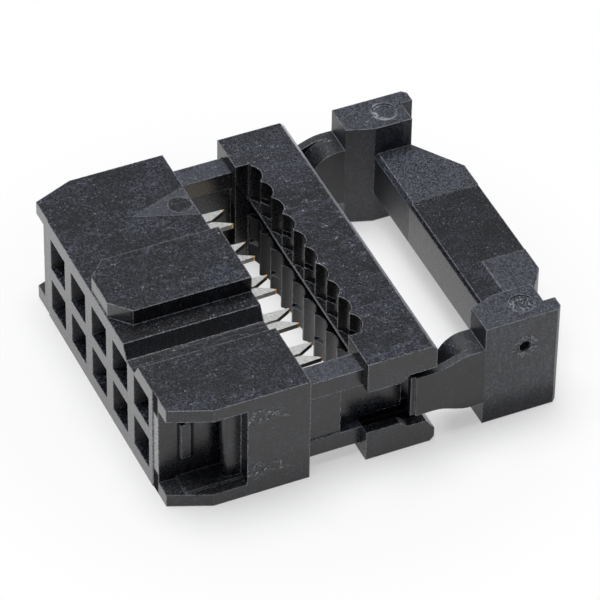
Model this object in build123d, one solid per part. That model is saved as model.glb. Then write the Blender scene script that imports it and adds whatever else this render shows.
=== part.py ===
from build123d import *
import os

# Ribbon cable socket with two rows of contacts, shown open as it is supplied.
# X runs along the rows, Y from the mating face to the cable end, Z is up.
# The origin is the middle of the mating face. Lengths are millimetres.

# Contact grid
columns = 5
pitch = 2.54
row_pitch = 2.54
wire_pitch = 1.27
cell_width = 1.78
cell_height = 1.82
cell_depth = 4.6

# Housing walls, from the outer cells outwards
top_wall = 0.80
end_wall = 0.40
end_strip = 0.59
strip_setback = 0.045
end_cavity = 1.71
ear_plate = 0.70
cavity_reach = 3.73
end_block = 3.13
ear_chamfer_x = 0.82
ear_chamfer_y = 2.02

# Rear chambers that the contacts are pushed into
chamber_width = 1.60
chamber_height = 1.40
fork_slot_height = 0.36

# Features in the end cavities
cavity_rib_start = 1.10
cavity_rib_width = 0.48
cavity_rib_height = 2.08
cavity_rib_rise = 0.14
nose_radius = 0.33
nose_setback = 0.57
nose_inset = 0.65
plate_lip_width = 0.52
plate_lip_drop = 0.12
plate_pad_start = 0.90

# Polarising key on top
key_front_width = 1.90
key_width = 3.86
key_height = 0.86
key_setback = 0.055
key_chamfer_length = 0.89

# Slot in the top wall above a divider
slot_column = 1.5
slot_top_width = 1.76
slot_bottom_width = 0.93
slot_depth = 0.70

# Pin one mark and mould marks
mark_column = -2
mark_length = 3.05
mark_base = 2.16
mark_depth = 0.05
ejector_radius = 0.57
ejector_depth = 0.05
ejector_inset = 0.62

# Guide rails at the ends of the housing
rail_width = 1.17
rail_thickness = 0.97
rail_gap = 2.60
web_length = 1.80
web_setback = 0.07
web_thickness = 0.42

# Cover
cover_open_gap = 2.84
cover_travel = 2.78
cover_thickness = 3.50
cover_height = 5.92
cover_edge_chamfer = 0.22
seat_recess = 0.70
seat_end_margin = 0.13
groove_depth = 0.29
seat_land = 0.08
band_bottom = -0.27
band_top = 0.75
band_recess = 0.70
ridge_height = 0.12
ridge_rise = 0.05
fork_land = 0.36
tongue_thickness = 0.56
tongue_insertion = 0.30
channel_height = 2.52
arm_recess_length = 1.80
arm_recess_height = 3.20
arm_recess_ramp = 0.45
arm_stop_depth = 1.27
arm_mouth_height = 4.40
arm_mouth_depth = 0.45

# Strain relief
relief_open_gap = 2.50
relief_side_setback = 0.07
ear_height = 5.84
ear_depth = 3.90
ear_inner_front = 6.95
ear_inner_rear = 6.50
ear_slant = 1.35
ear_notch_width = 0.82
ear_notch_depth = 0.60
ear_corner = 0.22
arm_thickness = 0.42
arm_height = 2.36
arm_reach = 3.70
arm_thick_reach = 1.80
arm_nose_radius = 1.38
arm_hump_height = 3.30
arm_hump_length = 0.95
arm_ramp_length = 1.25
arm_ramp_radius = 2.00
arm_tip_length = 0.22
arm_tip_step = 0.12
bar_height = 2.60
bar_front_setback = 1.35
bar_depth = 3.65
bar_flat_length = 8.12
bar_centre_length = 5.10
bar_centre_step = 0.05
bar_strip_width = 1.40
bar_edge = 0.20
relief_mark_radius = 0.60
relief_mark_depth = 0.10
relief_mark_from_front = 2.30
relief_mark_from_end = 1.05
gate_radius = 0.30
gate_depth = 0.12
gate_from_front = 2.05
gate_rise = 1.20

# Contacts, cut and folded from strip
strip_thickness = 0.25
blade_top = 1.91
fork_width = 1.26
fork_tip_spacing = 1.10
fork_tip_flat = 0.07
fork_tip_y = 8.47
fork_taper_length = 1.10
fork_vee_length = 0.83
fork_slit = 0.14
fork_slit_length = 2.30
blade_front_y = 2.20
blade_width = 1.20
neck_length = 0.40
beam_width = 0.80
beam_bend_length = 0.80
beam_thickness = 0.18
beam_span = 1.16
beam_mouth_y = 0.95
beam_pinch_y = 1.55
beam_pinch = 0.26
beam_mouth = 0.50
beam_root_y = 4.20

# Clearances between pieces
slide_clearance = 0.06
contact_clearance = 0.05
fork_clearance = 0.03
fork_tip_clearance = 0.10
arm_side_clearance = 0.09
joint_overlap = 0.10
same_place = 0.001
rail_engagement = 0.04

# Places worked out from the sizes above
grid_half = (columns - 1) / 2 * pitch + cell_width / 2
block_half = grid_half + end_wall
cavity_floor = block_half + end_strip
housing_half = cavity_floor + end_cavity
half_height = row_pitch / 2 + cell_height / 2 + top_wall
housing_depth = cavity_reach + end_block
column_places = [(index - (columns - 1) / 2) * pitch for index in range(columns)]
wire_count = 2 * columns
wire_places = [(index - (wire_count - 1) / 2) * wire_pitch for index in range(wire_count)]
fork_shift = wire_pitch / 2
rail_outer = cavity_floor + rail_width
rail_top = rail_gap / 2 + rail_thickness
tongue_inner = cavity_floor + slide_clearance
tongue_outer = tongue_inner + tongue_thickness
tongue_half = rail_gap / 2 - slide_clearance
web_outer = rail_outer - web_setback
web_inner = web_outer - web_thickness
cover_front = housing_depth + cover_open_gap
cover_rear = cover_front + cover_thickness
rail_end = cover_front + rail_engagement
cover_half = housing_half
cover_top = cover_height / 2
seat_half = wire_count / 2 * wire_pitch + seat_end_margin
seat_y = cover_front + seat_recess
relief_half = cover_half - relief_side_setback
relief_front = cover_rear + relief_open_gap
relief_rear = relief_front + ear_depth
bar_front = relief_front + bar_front_setback
bar_rear = bar_front + bar_depth
arm_tip = relief_front - arm_reach


def block(x0, x1, y0, y1, z0, z1):
    """A box between two opposite corners."""
    centre = Pos((x0 + x1) / 2, (y0 + y1) / 2, (z0 + z1) / 2)
    return centre * Box(abs(x1 - x0), abs(y1 - y0), abs(z1 - z0))


def plan_slab(points, z0, z1):
    """A flat outline seen from above, as thick as the step from z0 to z1."""
    outline = Polyline(*[(x, y, z0) for x, y in points], close=True)
    return extrude(make_face(outline), z1 - z0, dir=(0, 0, 1))


def side_slab(points, x0, x1):
    """An outline in Y and Z, as thick as the step from x0 to x1."""
    outline = Polyline(*[(x0, y, z) for y, z in points], close=True)
    return extrude(make_face(outline), x1 - x0, dir=(1, 0, 0))


def front_slab(points, y0, y1):
    """An outline in X and Z, as deep as the step from y0 to y1."""
    outline = Polyline(*[(x, y0, z) for x, z in points], close=True)
    return extrude(make_face(outline), y1 - y0, dir=(0, 1, 0))


def both_ends(piece):
    """The piece and its mirror image at the other end of the connector."""
    return [piece, mirror(piece, about=Plane.YZ)]


def above_and_below(piece):
    """The piece and its mirror image in the other row."""
    return [piece, mirror(piece, about=Plane.XY)]


# Housing

def housing_plate(z0, z1):
    """One broad wall of the housing with its cut corners."""
    corner_x = housing_half - ear_chamfer_x
    points = [
        (block_half, 0),
        (block_half, strip_setback),
        (corner_x, strip_setback),
        (housing_half, strip_setback + ear_chamfer_y),
        (housing_half, housing_depth),
    ]
    left = [(-x, y) for x, y in reversed(points)]
    return plan_slab(points + left, z0, z1)


def housing_shell():
    """Plates, socket block and end blocks in one piece."""
    core = block(-block_half, block_half, 0, housing_depth, -half_height, half_height)
    strips = block(-cavity_floor, cavity_floor, strip_setback, housing_depth,
                   -half_height, half_height)
    shell = core + strips
    shell += above_and_below(housing_plate(half_height - ear_plate, half_height))
    end = block(cavity_floor, housing_half, cavity_reach, housing_depth,
                -half_height, half_height)
    shell += both_ends(end)
    return shell


def contact_chamber(x, side):
    """Socket cell, chamber and the side slot of one contact."""
    low = row_pitch / 2 - cell_height / 2
    cell = block(x - cell_width / 2, x + cell_width / 2, 0, cell_depth,
                 low, low + cell_height)
    ceiling = blade_top + contact_clearance
    chamber = block(x - chamber_width / 2, x + chamber_width / 2, cell_depth,
                    housing_depth, ceiling - chamber_height, ceiling)
    fork_edge = fork_shift + fork_width / 2 + contact_clearance
    slot = block(x, x + fork_edge, cell_depth, housing_depth,
                 ceiling - fork_slot_height, ceiling)
    cut = cell + chamber + slot
    if side < 0:
        cut = mirror(mirror(cut, about=Plane.XY), about=Plane(origin=(x, 0, 0), z_dir=(1, 0, 0)))
    return cut


def polarising_key():
    """The raised key on top, with its two front corners cut."""
    front = key_front_width / 2
    side = key_width / 2
    points = [
        (front, key_setback),
        (side, key_setback + key_chamfer_length),
        (side, housing_depth),
    ]
    left = [(-x, y) for x, y in reversed(points)]
    return plan_slab(points + left, half_height - top_wall / 2, half_height + key_height)


def divider_slot():
    """The tapered slot along the top wall above one divider."""
    centre = slot_column * pitch
    bottom = half_height - slot_depth
    points = [
        (centre - slot_top_width / 2, half_height),
        (centre - slot_bottom_width / 2, bottom),
        (centre + slot_bottom_width / 2, bottom),
        (centre + slot_top_width / 2, half_height),
    ]
    return front_slab(points, 0, housing_depth)


def pin_one_mark():
    """The sunk triangle on top, with a round mould mark in it."""
    centre = mark_column * pitch
    points = [
        (centre, housing_depth - mark_length),
        (centre + mark_base / 2, housing_depth),
        (centre - mark_base / 2, housing_depth),
    ]
    triangle = plan_slab(points, half_height - mark_depth, half_height)
    disc_y = housing_depth - ejector_inset
    depth = mark_depth + ejector_depth
    disc = Pos(centre, disc_y, half_height - depth / 2) * Cylinder(ejector_radius, depth)
    return triangle + disc


def cavity_details():
    """Rib, rounded nose and raised pads between the plates of an end cavity."""
    reach = half_height - ear_plate
    back = cavity_reach + joint_overlap
    rib = block(block_half, cavity_floor + cavity_rib_rise, cavity_rib_start,
                cavity_rib_start + cavity_rib_width, -cavity_rib_height / 2,
                cavity_rib_height / 2)
    nose_x = cavity_floor + nose_inset
    nose_y = cavity_reach - nose_setback
    nose = Pos(nose_x, nose_y, 0) * Cylinder(nose_radius, 2 * reach)
    nose += block(nose_x - nose_radius, nose_x + nose_radius, nose_y, back, -reach, reach)
    pad = block(block_half, housing_half - plate_lip_width, plate_pad_start, back,
                reach - plate_lip_drop, reach)
    return rib + nose + pad + mirror(pad, about=Plane.XY)


def guide_rails():
    """Two rails that just enter the open cover and the web that joins them, at one end."""
    rail = block(cavity_floor, rail_outer, housing_depth, rail_end, rail_gap / 2, rail_top)
    web = block(web_inner, web_outer, housing_depth, housing_depth + web_length,
                -rail_gap / 2, rail_gap / 2)
    return rail + mirror(rail, about=Plane.XY) + web


def tongue_passage():
    """The way through an end block for a tongue of the cover."""
    return block(cavity_floor, tongue_outer + slide_clearance, cavity_reach,
                 housing_depth, -rail_gap / 2, rail_gap / 2)


def make_housing():
    housing = housing_shell()
    housing += polarising_key()
    for end in both_ends(cavity_details()):
        housing += end
    for end in both_ends(guide_rails()):
        housing += end
    for x in column_places:
        housing -= contact_chamber(x, 1)
        housing -= contact_chamber(x, -1)
    housing -= divider_slot()
    housing -= pin_one_mark()
    for end in both_ends(tongue_passage()):
        housing -= end
    return housing


# Cover

def wire_seats():
    """The recess across the front of the cover and its row of grooves."""
    recess = block(-seat_half, seat_half, cover_front, seat_y, -cover_top, cover_top)
    half_chord = (wire_pitch - seat_land) / 2
    radius = (half_chord ** 2 + groove_depth ** 2) / (2 * groove_depth)
    centre_y = seat_y + groove_depth - radius
    zone = block(-seat_half, seat_half, cover_front, seat_y + groove_depth + radius,
                 -cover_top, cover_top)
    cut = recess
    for x in wire_places:
        groove = Pos(x, centre_y, 0) * Cylinder(radius, cover_height)
        cut += groove & zone
    return cut


def seat_band():
    """The deeper band between the two rows of wire seats."""
    return block(-seat_half, seat_half, cover_front, seat_y + band_recess,
                 band_bottom, band_top)


def seat_ridge():
    """The narrow ridge that closes the upper seats above the band."""
    return block(-seat_half, seat_half, seat_y - ridge_rise, seat_y + band_recess,
                 band_top, band_top + ridge_height)


def fork_pocket(x):
    """Two narrow pockets that take the prongs of one fork when the cover closes."""
    centre_z = blade_top - strip_thickness / 2
    half = strip_thickness / 2 + fork_clearance
    floor = fork_tip_y + cover_travel + fork_tip_clearance
    outer = fork_width / 2 + fork_clearance
    right = block(x + fork_land / 2, x + outer, seat_y, floor, centre_z - half, centre_z + half)
    left = block(x - outer, x - fork_land / 2, seat_y, floor, centre_z - half, centre_z + half)
    return [right, left]


def rail_pocket():
    """The blind pocket that takes the upper rail at one end."""
    floor = rail_end + cover_travel + slide_clearance
    return block(cavity_floor - slide_clearance, rail_outer + slide_clearance,
                 cover_front, floor, channel_height / 2 - slide_clearance,
                 rail_top + slide_clearance)


def side_channel():
    """The open channel along one end of the cover."""
    half = channel_height / 2
    return block(tongue_outer, cover_half, cover_front, cover_rear, -half, half)


def arm_recess():
    """The wider, deeper recess at the rear that takes an arm of the strain relief."""
    start = cover_rear - arm_recess_length
    inner = ear_inner_front - arm_side_clearance
    half = channel_height / 2
    wide = arm_recess_height / 2
    mouth = arm_mouth_height / 2
    points = [
        (start, half),
        (start + arm_recess_ramp, wide),
        (cover_rear, wide),
        (cover_rear, -mouth),
        (cover_rear - arm_mouth_depth, -wide),
        (start + arm_recess_ramp, -wide),
        (start, -half),
    ]
    recess = side_slab(points, inner, cover_half)
    stop = block(inner, tongue_outer, start, cover_rear - arm_stop_depth, -mouth, mouth)
    return recess - stop


def cover_tongue():
    """The tongue that slides between the rails and into the housing."""
    start = housing_depth - tongue_insertion
    root = cover_front + joint_overlap
    return block(tongue_inner, tongue_outer, start, root, -tongue_half, tongue_half)


def make_cover():
    cover = block(-cover_half, cover_half, cover_front, cover_rear, -cover_top, cover_top)
    rear_edges = cover.edges().filter_by(Axis.X).group_by(Axis.Y)[-1]
    cover = chamfer(rear_edges, cover_edge_chamfer)
    cover -= wire_seats()
    cover -= seat_band()
    cover += seat_ridge()
    for x in column_places:
        for pocket in fork_pocket(x + fork_shift):
            cover -= pocket
        for pocket in fork_pocket(x - fork_shift):
            cover -= mirror(pocket, about=Plane.XY)
    end_cut = side_channel() + arm_recess()
    for pocket in above_and_below(rail_pocket()):
        end_cut += pocket
    for end in both_ends(end_cut):
        cover -= end
    for end in both_ends(cover_tongue()):
        cover += end
    return cover


# Strain relief

def relief_ear():
    """The tall ear at one end, seen from above."""
    points = [
        (ear_inner_front, relief_front),
        (relief_half, relief_front),
        (relief_half, relief_rear - ear_corner),
        (relief_half - ear_corner, relief_rear),
        (relief_half - ear_notch_width, relief_rear),
        (relief_half - ear_notch_width, relief_rear - ear_notch_depth),
        (ear_inner_rear, relief_rear - ear_notch_depth),
        (ear_inner_rear, relief_front + ear_slant),
    ]
    return plan_slab(points, -ear_height / 2, ear_height / 2)


def arm_plate():
    """The outer plate of an arm, which widens in a soft ramp up to the ear."""
    inner = relief_half - arm_thickness
    start = arm_tip + arm_tip_length
    half = arm_height / 2
    hump = arm_hump_height / 2
    hump_start = relief_front - arm_hump_length
    ramp_start = hump_start - arm_ramp_length
    rear = relief_front + joint_overlap
    points = [(start, half), (ramp_start, half), (hump_start, hump), (rear, hump)]
    lower = [(y, -z) for y, z in reversed(points)]
    plate = side_slab(points + lower, inner, relief_half)
    for place in (ramp_start, hump_start):
        corners = [edge for edge in plate.edges().filter_by(Axis.X)
                   if abs(edge.center().Y - place) < same_place]
        plate = fillet(corners, arm_ramp_radius)
    return plate


def relief_arm():
    """The arm that slides into the cover, thick near the ear and thin at the tip."""
    inner = relief_half - arm_thickness
    half = arm_height / 2
    hump = arm_hump_height / 2
    tip = block(inner, relief_half - arm_tip_step, arm_tip,
                arm_tip + arm_tip_length, -half, half)
    thick = block(ear_inner_front, inner, relief_front - arm_thick_reach,
                  relief_front + joint_overlap, -hump, hump)
    nose_edges = thick.edges().filter_by(Axis.X).group_by(Axis.Y)[0]
    thick = fillet(nose_edges, min(arm_nose_radius, hump - joint_overlap))
    return arm_plate() + tip + thick


def relief_bar():
    """The cross bar that presses on the cable, with cut rear corners."""
    flat = bar_flat_length / 2
    half = bar_height / 2
    side_rear = relief_rear - ear_notch_depth
    points = [
        (ear_inner_rear, bar_front),
        (ear_inner_rear, side_rear),
        (flat, bar_rear),
    ]
    left = [(-x, y) for x, y in reversed(points)]
    bar = plan_slab(points + left, -half, half)
    front_edges = bar.edges().filter_by(Axis.X).group_by(Axis.Y)[0]
    bar = chamfer(front_edges, bar_edge)
    middle = bar_centre_length / 2
    face_cut = block(-middle, middle, bar_front, bar_rear, half - bar_centre_step, half)
    face_cut += block(middle, ear_inner_rear, bar_front, bar_front + bar_strip_width,
                      half - bar_centre_step, half)
    for cut in above_and_below(face_cut):
        bar -= cut
    return bar


def relief_marks():
    """Round mould marks on the ears and the gate mark on one side."""
    centre_x = relief_half - relief_mark_from_end
    centre_y = relief_front + relief_mark_from_front
    top = ear_height / 2 - relief_mark_depth / 2
    disc = Pos(centre_x, centre_y, top) * Cylinder(relief_mark_radius, relief_mark_depth)
    gate = Rot(0, 90, 0) * Cylinder(gate_radius, gate_depth)
    gate = Pos(relief_half - gate_depth / 2, relief_front + gate_from_front, gate_rise) * gate
    return both_ends(disc) + [gate]


def make_strain_relief():
    relief = relief_bar()
    for end in both_ends(relief_ear() + relief_arm()):
        relief += end
    for mark in relief_marks():
        relief -= mark
    return relief


# Contacts

def fork_outline(x):
    """Fork and blade of one contact, seen from above."""
    fork_x = x + fork_shift
    tip = fork_tip_spacing / 2
    flat = fork_tip_flat / 2
    slit = fork_slit / 2
    outer = fork_width / 2
    vee_y = fork_tip_y - fork_vee_length
    slit_y = fork_tip_y - fork_vee_length - fork_slit_length
    shoulder_y = fork_tip_y - fork_taper_length
    neck_y = cell_depth + contact_clearance
    blade = blade_width / 2
    return [
        (fork_x - outer, shoulder_y),
        (fork_x - tip - flat, fork_tip_y),
        (fork_x - tip + flat, fork_tip_y),
        (fork_x - slit, vee_y),
        (fork_x - slit, slit_y),
        (fork_x + slit, slit_y),
        (fork_x + slit, vee_y),
        (fork_x + tip - flat, fork_tip_y),
        (fork_x + tip + flat, fork_tip_y),
        (fork_x + outer, shoulder_y),
        (fork_x + outer, neck_y),
        (x + blade, neck_y),
        (x + blade, blade_front_y),
        (x - blade, blade_front_y),
        (x - blade, neck_y),
        (fork_x - outer, neck_y + neck_length),
    ]


def spring_beam(x):
    """One of the two leaf springs that grip the pin, seen from above."""
    root = beam_span / 2
    inner = root - beam_thickness
    pinch = beam_pinch / 2
    mouth = beam_mouth / 2
    bend_y = blade_front_y + beam_bend_length
    points = [
        (root, beam_root_y),
        (inner, beam_root_y),
        (inner, bend_y),
        (pinch, beam_pinch_y),
        (mouth, beam_mouth_y),
        (mouth + beam_thickness, beam_mouth_y),
        (pinch + beam_thickness, beam_pinch_y),
        (root, bend_y),
    ]
    low = blade_top - strip_thickness - beam_width
    return plan_slab([(x + px, py) for px, py in points], low, blade_top - strip_thickness)


def make_contact(x, side):
    """One contact, upper row for side 1 and lower row for side -1."""
    contact = plan_slab(fork_outline(x), blade_top - strip_thickness, blade_top)
    beam = spring_beam(x)
    across = Plane(origin=(x, 0, 0), z_dir=(1, 0, 0))
    contact += beam
    contact += mirror(beam, about=across)
    if side < 0:
        contact = mirror(mirror(contact, about=Plane.XY), about=across)
    return contact


# Files, one for each piece

os.makedirs("parts", exist_ok=True)
export_step(make_housing(), "parts/housing.step")
export_step(make_cover(), "parts/cover.step")
export_step(make_strain_relief(), "parts/strain_relief.step")
number = 0
for column_x in column_places:
    for row_side in (1, -1):
        number += 1
        export_step(make_contact(column_x, row_side), f"parts/contact_{number:02d}.step")
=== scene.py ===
from math import radians

import bpy
from mathutils import Matrix, Vector


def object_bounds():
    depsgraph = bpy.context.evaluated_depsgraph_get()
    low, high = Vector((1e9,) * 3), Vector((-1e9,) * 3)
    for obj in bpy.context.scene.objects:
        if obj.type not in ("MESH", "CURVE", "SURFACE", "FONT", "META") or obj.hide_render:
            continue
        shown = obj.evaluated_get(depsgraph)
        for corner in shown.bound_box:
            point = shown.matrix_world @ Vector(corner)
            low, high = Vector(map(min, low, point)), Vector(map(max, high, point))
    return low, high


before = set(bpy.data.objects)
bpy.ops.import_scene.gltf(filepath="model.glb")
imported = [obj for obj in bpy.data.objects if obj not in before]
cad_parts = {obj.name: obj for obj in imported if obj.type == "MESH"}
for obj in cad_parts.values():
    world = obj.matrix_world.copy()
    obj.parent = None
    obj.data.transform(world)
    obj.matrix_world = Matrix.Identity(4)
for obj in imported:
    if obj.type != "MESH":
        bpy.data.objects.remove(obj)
cad_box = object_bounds()

MM = 0.001

# Places on the connector, in millimetres

HALF_WIDTH = cad_box[1][0] / MM
PLATE_TOP = -cad_box[0][2] / MM
HOUSING_LENGTH = 6.86
SOCKETS_HALF_WIDTH = 5.97
SOCKETS_HALF_HEIGHT = 2.18
STRIP_START = 6.37
CAVITY_FLOOR = 6.96
CAVITY_LENGTH = 3.73
RIB_START = 1.10
RIB_END = 1.58
RIB_RISE = 0.14
RIB_HALF_HEIGHT = 1.04
KEY_HALF_WIDTH = 1.93
SLOT_START = 2.93
MARK_FLOOR = PLATE_TOP - 0.05
RAIL_BOTTOM = 1.30
RAIL_GLOW = (-7.0, 7.6, 1.5)
COVER_REAR = 13.20
COVER_ROUGH_END = (-6.5, 11.4, 2.96)
POCKET_FLOOR = -1.94
POCKET_MIDDLE = 11.5
RELIEF_FRONT = 15.70
BAR_CENTRE_HALF_LENGTH = 2.55
BAR_STRIP_REAR = 18.45
EAR_INNER = 6.45
EAR_OUTER = HALF_WIDTH - 0.07
NEAR_EAR_MARK = (7.55, 18.0, 2.92)
FAR_EAR_MARK = (-7.55, 18.0, 2.90)
FAR_MARK_HIGHLIGHT_CUTOUT = (-7.60, 18.2, 2.90)
GATE = (EAR_OUTER, 17.75, 1.20)
PRONG_SHOULDER = 7.3
PRONG_TIP = 8.47

# Colours

PLASTIC_DARK = (0.0060, 0.0060, 0.0074, 1)
PLASTIC_LIGHT = (0.066, 0.074, 0.106, 1)
PLASTIC_GLINT = (0.42, 0.44, 0.48, 1)
# Lighter edges: partly rubbed plastic, partly painted highlight
EDGE_WEAR_AND_HIGHLIGHT = (0.36, 0.37, 0.41, 1)
# Painted light: a lighter grey put on socket walls, a front strip, front faces and the end
# cavity's floor
PAINTED_LIGHT_GREY = (0.19, 0.19, 0.195, 1)
# Painted reflection: gold from the contacts, seen on a guide rail
PAINTED_GOLD_REFLECTION = (0.24, 0.18, 0.11, 1)
POCKET_PAINTED_GLOW = (0.040, 0.040, 0.043, 1)
DEEP_SHADE = (0.008, 0.008, 0.009, 1)
TIN_DARK = (0.62, 0.62, 0.61, 1)
TIN_BRIGHT = (1.0, 1.0, 0.98, 1)
GOLD = (0.95, 0.60, 0.20, 1)
CUT_FACE_PAINTED_SHADE = (0.16, 0.15, 0.14, 1)
BLACK = (0, 0, 0, 1)
WHITE = (1, 1, 1, 1)
SKY = (0.93, 0.96, 1.0, 1)


# Shader maths

class Reading:
    """A number, colour or direction that changes over a surface."""

    def __init__(self, finish, socket):
        self.finish = finish
        self.socket = socket

    def calculate(self, operation, *values, clamp=False):
        settings = {"operation": operation, "use_clamp": clamp}
        return self.finish.node("ShaderNodeMath", settings, dict(enumerate(values)))

    def __add__(self, other):
        return self.calculate("ADD", self, other)

    __radd__ = __add__

    def __sub__(self, other):
        return self.calculate("SUBTRACT", self, other)

    def __rsub__(self, other):
        return self.calculate("SUBTRACT", other, self)

    def __mul__(self, other):
        return self.calculate("MULTIPLY", self, other)

    __rmul__ = __mul__

    def clamped(self):
        return self.calculate("ADD", self, 0.0, clamp=True)

    def between(self, low, high):
        """0 at low and 1 at high, with a smooth step in between."""
        settings = {"interpolation_type": "SMOOTHSTEP"}
        values = {"Value": self, "From Min": low, "From Max": high}
        return self.finish.node("ShaderNodeMapRange", settings, values)

    def under(self, low, high):
        """1 at low and 0 at high, with a smooth step in between."""
        return 1 - self.between(low, high)

    def outside(self, low, high):
        """0 up to low on both sides of zero, and 1 from high outwards."""
        return (self * self).between(low * low, high * high)

    def inside(self, low, high):
        """1 up to low on both sides of zero, and 0 from high outwards."""
        return 1 - self.outside(low, high)

    def facing(self):
        """For one part of a normal: 1 where the face looks along its axis."""
        return self.between(0.5, 0.9)


class Finish:
    """A material under construction, with its places in millimetres."""

    def __init__(self, name):
        self.material = bpy.data.materials.new(name)
        self.material.use_nodes = True
        self.tree = self.material.node_tree
        self.tree.nodes.clear()
        self.output = self.tree.nodes.new("ShaderNodeOutputMaterial")

    def node(self, kind, settings=None, values=None, take=0):
        """Adds a node, sets it up, fills its inputs and gives one of its outputs."""
        node = self.tree.nodes.new(kind)
        for key, setting in (settings or {}).items():
            setattr(node, key, setting)
        for key, value in (values or {}).items():
            socket = node.inputs[key]
            if isinstance(value, Reading):
                self.tree.links.new(value.socket, socket)
            else:
                socket.default_value = value
        return Reading(self, node.outputs[take])

    def vector_math(self, operation, values, take=0):
        return self.node("ShaderNodeVectorMath", {"operation": operation}, values, take)

    def places(self):
        """Where a point lies in the connector's own frame, in millimetres."""
        where = self.node("ShaderNodeTexCoord", take="Object")
        return self.vector_math("SCALE", {0: where, "Scale": 1 / MM})

    def normals(self):
        return self.node("ShaderNodeNewGeometry", take="Normal")

    def rounded(self, radius):
        """The normals as they are with the edges rounded off."""
        return self.node("ShaderNodeBevel", {"samples": 6}, {"Radius": radius * MM})

    def parts(self, vector):
        split = self.node("ShaderNodeSeparateXYZ", values={0: vector})
        outputs = split.socket.node.outputs
        return [Reading(self, outputs[axis]) for axis in ("X", "Y", "Z")]

    def dot(self, first, second):
        return self.vector_math("DOT_PRODUCT", {0: first, 1: second}, take="Value")

    def stretched(self, vector, factors):
        """The same pattern drawn out by a factor for each axis."""
        return self.vector_math("MULTIPLY", {0: vector, 1: factors})

    def noise(self, vector, per_mm, detail=2.0, roughness=0.5, distortion=0.0, take=0):
        values = {
            "Vector": vector,
            "Scale": per_mm,
            "Detail": detail,
            "Roughness": roughness,
            "Distortion": distortion,
        }
        return self.node("ShaderNodeTexNoise", None, values, take)

    def warped(self, vector, per_mm, amount):
        """The same places pushed about by a noise, in millimetres."""
        push = self.noise(vector, per_mm, take="Color")
        push = self.vector_math("SUBTRACT", {0: push, 1: (0.5, 0.5, 0.5)})
        push = self.vector_math("SCALE", {0: push, "Scale": amount})
        return self.vector_math("ADD", {0: vector, 1: push})

    def spot(self, place, centre, radius):
        """1 round a centre in millimetres and 0 from the radius outwards."""
        distance = self.vector_math("DISTANCE", {0: place, 1: centre}, take="Value")
        return distance.under(radius * 0.55, radius)

    def mixed(self, first, second, share):
        """The first colour where the share is 0 and the second where it is 1."""
        values = {0: share, 6: first, 7: second}
        return self.node("ShaderNodeMix", {"data_type": "RGBA"}, values, take=2)

    def bump(self, height, strength, distance, normal):
        values = {
            "Height": height,
            "Strength": strength,
            "Distance": distance * MM,
            "Normal": normal,
        }
        return self.node("ShaderNodeBump", None, values)

    def surface(self, **values):
        """A surface from the values of its inputs, each named as in the node."""
        named = {key.replace("_", " "): value for key, value in values.items()}
        return self.node("ShaderNodeBsdfPrincipled", None, named)

    def shaders(self, first, second, share):
        """The first surface where the share is 0 and the second where it is 1."""
        return self.node("ShaderNodeMixShader", None, {0: share, 1: first, 2: second})

    def done(self, shader):
        self.tree.links.new(shader.socket, self.output.inputs["Surface"])
        return self.material


# Finishes

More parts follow.
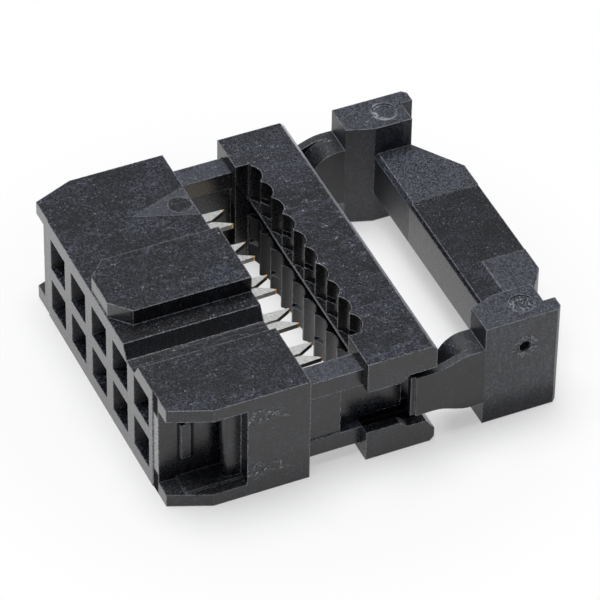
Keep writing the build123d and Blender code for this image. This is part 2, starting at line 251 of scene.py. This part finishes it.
def black_plastic(name, areas, scuff=1.0):
    """Glass-filled plastic from a spark-eroded mould, scuffed where it faces up.

    The function areas gives the shares of the piece that are coarse, smooth (in places as
    painted shade), painted light, polished, dull, painted gold reflection, rubbed and
    painted highlight, torn, painted glow or painted deep shade.
    """
    finish = Finish(name)
    place = finish.places()
    normal = finish.normals()
    kinds = ("coarse", "smooth", "painted_light", "polished", "dull", "gold_reflection", "wear_and_highlight", "torn",
             "painted_glow", "shade")
    shares = dict.fromkeys(kinds, 0.0)
    shares.update(areas(finish, place, normal))
    coarse = shares["coarse"]
    smooth = shares["smooth"]
    torn = shares["torn"]
    up = finish.parts(normal)[2].between(0.3, 0.9)
    rounded = finish.rounded(radius=0.07)
    edge = (1 - finish.dot(normal, rounded)).between(0.004, 0.05)

    # Patterns, from broad to fine
    lengthwise = finish.stretched(place, (1.0, 0.45, 1.0))
    broad = finish.noise(lengthwise, 0.42, distortion=0.6)
    broad = broad.between(0.36, 0.64) * 1.1 + 0.45
    cloud = finish.noise(place, 0.9, detail=4.0, roughness=0.62).between(0.34, 0.66)
    wiped = finish.stretched(place, (1.6, 0.7, 1.0))
    smudge = finish.noise(wiped, 1.5, detail=6.0, roughness=0.72, distortion=1.2)
    smudge = smudge.between(0.46, 0.70) * scuff
    upright = finish.stretched(place, (3.5, 3.5, 1.2))
    drawn = finish.noise(upright, 1.0, detail=4.0, roughness=0.75)
    # Lighter edges, partly rubbed plastic and partly painted highlight
    edge_wear_and_highlight = edge * finish.noise(place, 6.0, detail=3.0, roughness=0.6).between(0.30, 0.56)
    glint = finish.noise(place, 9.0, roughness=0.6).between(0.645, 0.70)
    grain = finish.noise(place, 9.5, detail=3.0, roughness=0.8)
    fine = grain.between(0.45, 0.58)

    # Colour, as shares of the lighter ones over the dark one
    haze = 0.06 + (cloud * 0.17 + smudge * up * 0.42) * broad + coarse * 0.42
    side = drawn.between(0.36, 0.62) * 0.7 + 0.15
    haze = haze * (fine * 2.5) * (up * (0.95 - side) + side) * (1 - smooth * 0.75)
    sparkle = glint * (up * 0.8 + 0.15) * (smudge + 0.3)
    # Lighter marks: rubbed edges, edge highlights and the painted highlights that the
    # areas give
    wear_and_highlight = edge_wear_and_highlight * (1 - smooth * 0.4) + shares["wear_and_highlight"]
    scored = torn * grain.between(0.46, 0.60)
    # Painted light: the lighter grey, mixed with the painted gold reflection, laid over
    # the plastic's colour
    painted_light = finish.mixed(PAINTED_LIGHT_GREY, PAINTED_GOLD_REFLECTION, shares["gold_reflection"])
    colour = finish.mixed(PLASTIC_DARK, PLASTIC_LIGHT, haze.clamped())
    colour = finish.mixed(colour, painted_light, shares["painted_light"])
    colour = finish.mixed(colour, PLASTIC_GLINT, sparkle.clamped())
    colour = finish.mixed(colour, EDGE_WEAR_AND_HIGHLIGHT, wear_and_highlight.clamped())
    colour = finish.mixed(colour, PLASTIC_GLINT, scored.clamped())

    height = grain * (0.16 + up * 0.36 + coarse * 0.8 + torn * 4.0)
    roughness = 0.20 + fine * 0.06 + smudge * up * 0.10 + coarse * 0.12 + drawn * 0.06
    plastic = finish.surface(
        Base_Color=colour,
        Roughness=(roughness + shares["dull"] * 0.45).clamped(),
        IOR=1.58,
        Coat_Weight=shares["polished"],
        Coat_Roughness=0.12,
        # Painted glow in the prong pockets, standing in for bounced light
        Emission_Color=finish.mixed(BLACK, POCKET_PAINTED_GLOW, shares["painted_glow"]),
        Emission_Strength=1.0,
        Normal=finish.bump(height, strength=0.8, distance=0.03, normal=rounded),
    )
    shade = finish.node("ShaderNodeBsdfDiffuse", None, {"Color": DEEP_SHADE})
    return finish.done(finish.shaders(plastic, shade, shares["shade"]))


def housing_areas(finish, place, normal):
    """Coarse rails, a sunk triangle and tool marks on one end, with painted light on
    socket walls and front faces, a painted gold reflection and painted shade.
    """
    x, y, z = finish.parts(place)
    nx, ny, nz = finish.parts(normal)
    up = nz.facing()
    near = nx.facing()

    rails = up * y.between(HOUSING_LENGTH - 0.06, HOUSING_LENGTH + 0.06)
    web = near * y.between(HOUSING_LENGTH, HOUSING_LENGTH + 0.04)
    web = web * x.under(-5.5, -5.0) * z.under(RAIL_BOTTOM - 0.08, RAIL_BOTTOM)
    # Painted reflection: gold from the contacts on the inner face of the far guide rail
    gold_reflection = near * finish.spot(place, RAIL_GLOW, radius=1.5)

    walls = nx.outside(0.775, 0.949) * y.between(0.01, 0.03) * y.under(1.0, 2.4)
    walls = walls * x.inside(SOCKETS_HALF_WIDTH + 0.03, SOCKETS_HALF_WIDTH + 0.08)
    walls = walls * z.inside(SOCKETS_HALF_HEIGHT + 0.002, SOCKETS_HALF_HEIGHT + 0.011)

    sunk = up * z.under(MARK_FLOOR + 0.015, MARK_FLOOR + 0.035)
    triangle = sunk * z.between(MARK_FLOOR - 0.03, MARK_FLOOR - 0.01)
    # The slot's floor is made darker, through the smooth share
    slot = up * z.between(1.80, 1.90) * z.under(MARK_FLOOR - 0.04, MARK_FLOOR - 0.02)
    slot = slot * (1 - rails)
    across_slot = finish.stretched(place, (7.0, 0.5, 1.0))
    streaks = finish.noise(across_slot, 1.0, detail=3.0, roughness=0.7).between(0.5, 0.7)
    # Painted shade: the plate's top beside the key is made darker, through the smooth
    # share
    key_foot_shade = up * x.between(KEY_HALF_WIDTH - 0.03, KEY_HALF_WIDTH + 0.01)
    key_foot_shade = key_foot_shade * x.under(SLOT_START - 0.03, SLOT_START + 0.07) * (1 - rails)
    key_foot_shade = key_foot_shade * z.between(PLATE_TOP - 0.08, PLATE_TOP - 0.04)
    key_foot_shade = key_foot_shade * z.under(PLATE_TOP + 0.02, PLATE_TOP + 0.12)

    front = ny.outside(0.50, 0.775) * y.under(0.8, 1.0)
    strip = front * x.between(STRIP_START + 0.02, STRIP_START + 0.08)
    strip = strip * x.under(CAVITY_FLOOR - 0.06, CAVITY_FLOOR)
    strip_ends = z.outside(1.70, 1.84)
    cavity = x.outside(CAVITY_FLOOR - 0.04, CAVITY_FLOOR - 0.003)
    cavity = cavity * y.under(CAVITY_LENGTH - 0.05, CAVITY_LENGTH + 0.02)
    cavity = cavity * z.inside(PLATE_TOP - 0.08, PLATE_TOP - 0.05)
    beside_rib = cavity * near * y.between(RIB_START - 0.18, RIB_START - 0.08)
    beside_rib = beside_rib * y.under(RIB_END + 0.16, RIB_END + 0.28)
    beside_rib = beside_rib * z.inside(RIB_HALF_HEIGHT + 0.06, RIB_HALF_HEIGHT + 0.22)
    rib_top = CAVITY_FLOOR + RIB_RISE
    beside_rib = beside_rib * x.under(rib_top - 0.07, rib_top - 0.04)

    # The scratches' centres are given as they lie once the places are stretched
    end_face = near * x.between(HALF_WIDTH - 0.07, HALF_WIDTH - 0.01)
    ragged = finish.stretched(place, (1.0, 0.6, 1.6))
    ragged = finish.warped(ragged, per_mm=1.6, amount=1.6)
    scratches = finish.spot(ragged, (HALF_WIDTH, 2.7, 2.75), radius=0.85)
    scratches = scratches + finish.spot(ragged, (HALF_WIDTH, 2.7, -2.5), radius=0.75)
    patches = finish.noise(place, 3.0, detail=3.0, roughness=0.7).between(0.44, 0.56)

    # Painted light: socket walls, the front strip, front faces towards the top and the end
    # cavity's floor are made lighter
    painted_light = walls * 0.55 + gold_reflection * 0.9 + strip * (1 - strip_ends) * 0.9
    painted_light = painted_light + front * z.between(-1.5, 3.2) * 0.25 + cavity * up * 0.16
    return {
        "coarse": rails + triangle * 1.35,
        "smooth": (slot + cavity * up * 0.7 + key_foot_shade * 0.95).clamped(),
        "painted_light": painted_light.clamped(),
        "shade": (strip * strip_ends * 0.94 + beside_rib * 0.8 + web * 0.7).clamped(),
        "gold_reflection": gold_reflection,
        "polished": front * 0.34,
        "wear_and_highlight": slot * streaks * 0.16,
        "torn": (scratches * patches * end_face).clamped(),
    }


def cover_areas(finish, place, normal):
    """Dull grooves at the front with painted shade towards the far end, prong pockets with
    a painted glow and a painted highlight along the back edge.
    """
    x, y, z = finish.parts(place)
    ny, nz = finish.parts(normal)[1:]
    seats = ny.under(-0.4, -0.2)
    low_grooves = seats * z.under(0.3, 0.8)
    ledge = nz.between(0.3, 0.6) * z.under(1.0, 1.2)
    rough_end = nz.facing() * finish.spot(place, COVER_ROUGH_END, radius=3.2)
    # Painted highlight: a bright line along the chamfer of the back top edge
    rear = nz.between(0.3, 0.5) * y.between(COVER_REAR - 0.20, COVER_REAR - 0.16)
    # Painted glow: the prong pockets give off a little light in place of bounced light
    pockets = nz.between(0.6, 0.9) * z.between(POCKET_FLOOR - 0.08, POCKET_FLOOR - 0.04)
    pockets = pockets * z.under(POCKET_FLOOR + 0.04, POCKET_FLOOR + 0.09)
    pockets = pockets * y.under(POCKET_MIDDLE - 0.5, POCKET_MIDDLE + 0.5)
    return {
        "coarse": rough_end * 0.35,
        "smooth": (seats - low_grooves + ledge).clamped(),
        "dull": low_grooves * 0.25,
        "shade": low_grooves * x.under(-6.5, 1.0) * 0.75,
        "painted_glow": pockets.clamped(),
        "wear_and_highlight": rear,
    }


def relief_areas(finish, place, normal):
    """Coarse ears and bar ends beside the smooth middle of the bar."""
    x, y, z = finish.parts(place)
    near = finish.parts(normal)[0].facing()
    behind_arms = y.between(RELIEF_FRONT - 0.05, RELIEF_FRONT + 0.02)
    centre_end = BAR_CENTRE_HALF_LENGTH
    ends = behind_arms * x.outside(centre_end - 0.01, centre_end + 0.02)
    strip = x.between(centre_end - 0.05, centre_end + 0.05)
    strip = strip * x.under(EAR_INNER - 0.05, EAR_INNER + 0.05)
    strip = strip * y.under(BAR_STRIP_REAR - 0.05, BAR_STRIP_REAR + 0.05)

    ragged = finish.warped(place, per_mm=2.6, amount=0.55)
    patches = finish.noise(place, 3.5, detail=3.0, roughness=0.7).between(0.42, 0.56)
    pit = finish.spot(place, GATE, radius=0.45)
    rim = finish.spot(ragged, GATE, radius=0.75) - pit
    pit_floor = pit * near * x.under(EAR_OUTER - 0.02, EAR_OUTER)
    disc = finish.spot(ragged, NEAR_EAR_MARK, radius=0.80)
    foot = near * x.between(8.0, 8.1) * z.under(-2.4, -1.0)
    # Painted highlight: a bright crescent on the rim of the far ear's ejector mark
    crescent = finish.spot(place, FAR_EAR_MARK, radius=0.75)
    crescent = crescent * (1 - finish.spot(place, FAR_MARK_HIGHLIGHT_CUTOUT, radius=0.85))
    return {
        "coarse": (ends - strip).clamped(),
        "smooth": (1 - ends + strip).clamped() * 0.4,
        "dull": ((1 - behind_arms) * 0.4 + pit).clamped(),
        "wear_and_highlight": (crescent * 5.0).clamped() * patches,
        "torn": ((rim * 2.0 + disc).clamped() * patches).clamped(),
        "shade": (pit_floor + foot * 0.5).clamped(),
    }


def contact_strip(name):
    """Rough tin-plated strip with gold on the prongs' edges, and its cut faces darkened as
    painted shade.
    """
    finish = Finish(name)
    place = finish.places()
    normal = finish.normals()
    y = finish.parts(place)[1]
    # Painted shade: the side faces are darkened
    cut = finish.parts(normal)[2].inside(0.548, 0.837)
    rounded = finish.rounded(radius=0.03)
    edge = (1 - finish.dot(normal, rounded)).between(0.01, 0.10)
    lengthwise = finish.stretched(place, (9.0, 3.0, 9.0))
    drawn = finish.noise(lengthwise, 1.4, detail=4.0, roughness=0.75)
    patch = finish.noise(place, 3.2, detail=4.0, roughness=0.7)
    shine = (drawn * 0.6 + patch * 0.4).between(0.36, 0.60)
    tip = (y + patch * 0.10).between(PRONG_TIP - 0.07, PRONG_TIP - 0.01)
    gilt = tip + edge * y.between(PRONG_SHOULDER - 0.3, PRONG_SHOULDER + 0.3) * 0.6
    colour = finish.mixed(TIN_DARK, TIN_BRIGHT, shine)
    colour = finish.mixed(colour, CUT_FACE_PAINTED_SHADE, cut * 0.8)
    colour = finish.mixed(colour, GOLD, gilt.clamped())
    return finish.done(finish.surface(
        Base_Color=colour,
        Metallic=1.0,
        Roughness=0.42 - shine * 0.12,
        Normal=finish.bump(drawn + patch, strength=0.5, distance=0.02, normal=rounded),
    ))


def dress(node, material):
    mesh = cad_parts[node].data
    mesh.materials.clear()
    mesh.materials.append(material)


dress("housing", black_plastic("housing_black_plastic", housing_areas))
dress("cover", black_plastic("cover_black_plastic", cover_areas, scuff=1.3))
dress("strain_relief", black_plastic("relief_black_plastic", relief_areas, scuff=0.7))
contact_metal = contact_strip("plated_contact_strip")
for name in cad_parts:
    if name.startswith("contact"):
        dress(name, contact_metal)


# Floor, light and camera, in metres

CENTRE = (0.0, 0.010, 0.0)
FLOOR_HALF_WIDTH = 0.6
CAMERA_PLACE = (0.15410, -0.06084, 0.15173)
CAMERA_AZIMUTH = radians(65.2444)
CAMERA_ELEVATION = radians(41.8673)
CAMERA_ROLL = radians(1.0133)

# The fade of the floor, the sensor and the lens, in millimetres

FADE_CENTRE = 9.0
FADE_START = 11.0
FADE_END = 20.0
SENSOR_WIDTH = 36.0
FOCAL_LENGTH = 289.94


def link(thing):
    bpy.context.scene.collection.objects.link(thing)


def white_paper():
    """White paper that fades to plain white away from the connector."""
    finish = Finish("white_paper")
    x, y = finish.parts(finish.places())[:2]
    flat = finish.node("ShaderNodeCombineXYZ", None, {0: x, 1: y - FADE_CENTRE})
    faded = finish.vector_math("LENGTH", {0: flat}, take="Value")
    faded = faded.between(FADE_START, FADE_END)
    seen = finish.node("ShaderNodeLightPath", take="Is Camera Ray")
    mirrored = Reading(finish, seen.socket.node.outputs["Is Glossy Ray"])
    share = seen * (faded * 0.55 + 0.45) + mirrored * (faded * 0.5 + 0.5)
    paper = finish.node("ShaderNodeBsdfDiffuse", None, {"Color": WHITE})
    white = finish.node("ShaderNodeEmission", None, {"Color": WHITE, "Strength": 1.0})
    return finish.done(finish.shaders(paper, white, share.clamped()))


def add_floor(z):
    half = FLOOR_HALF_WIDTH
    corners = [(-half, -half, z), (half, -half, z), (half, half, z), (-half, half, z)]
    mesh = bpy.data.meshes.new("paper")
    mesh.from_pydata(corners, [], [(0, 1, 2, 3)])
    mesh.materials.append(white_paper())
    paper = bpy.data.objects.new("paper", mesh)
    link(paper)


def add_softbox(name, place, width, power):
    """A square softbox that points at the middle of the connector."""
    light = bpy.data.lights.new(name, "AREA")
    light.shape = "SQUARE"
    light.size = width
    light.energy = power
    holder = bpy.data.objects.new(name, light)
    holder.location = place
    direction = Vector(CENTRE) - Vector(place)
    holder.rotation_euler = direction.to_track_quat("-Z", "Y").to_euler()
    link(holder)


def add_camera():
    """Looks down on the near end of the mating face, with a long lens."""
    camera = bpy.data.cameras.new("camera")
    camera.sensor_width = SENSOR_WIDTH
    camera.lens = FOCAL_LENGTH
    camera.clip_start = 0.01
    camera.clip_end = 5.0
    holder = bpy.data.objects.new("camera", camera)
    turn = Matrix.Rotation(CAMERA_AZIMUTH, 4, "Z")
    tilt = Matrix.Rotation(radians(90) - CAMERA_ELEVATION, 4, "X")
    roll = Matrix.Rotation(CAMERA_ROLL, 4, "Z")
    holder.matrix_world = Matrix.Translation(CAMERA_PLACE) @ turn @ tilt @ roll
    link(holder)
    bpy.context.scene.camera = holder


def add_surroundings():
    """A dim cool sky for the connector, and plain white behind the floor."""
    world = bpy.data.worlds.new("studio")
    world.use_nodes = True
    nodes = world.node_tree.nodes
    links = world.node_tree.links
    sky = nodes["Background"]
    sky.inputs["Color"].default_value = SKY
    sky.inputs["Strength"].default_value = 0.13
    backdrop = nodes.new("ShaderNodeBackground")
    backdrop.inputs["Color"].default_value = WHITE
    backdrop.inputs["Strength"].default_value = 1.0
    path = nodes.new("ShaderNodeLightPath")
    choice = nodes.new("ShaderNodeMixShader")
    links.new(path.outputs["Is Camera Ray"], choice.inputs[0])
    links.new(sky.outputs[0], choice.inputs[1])
    links.new(backdrop.outputs[0], choice.inputs[2])
    links.new(choice.outputs[0], nodes["World Output"].inputs["Surface"])
    bpy.context.scene.world = world


add_floor(cad_box[0][2])
add_softbox("top_softbox", place=(-0.062, -0.030, 0.445), width=0.30, power=1.90)
add_softbox("rear_softbox", place=(-0.270, 0.135, 0.267), width=0.22, power=0.030)
add_camera()
add_surroundings()
bpy.context.scene.view_settings.view_transform = "Standard"
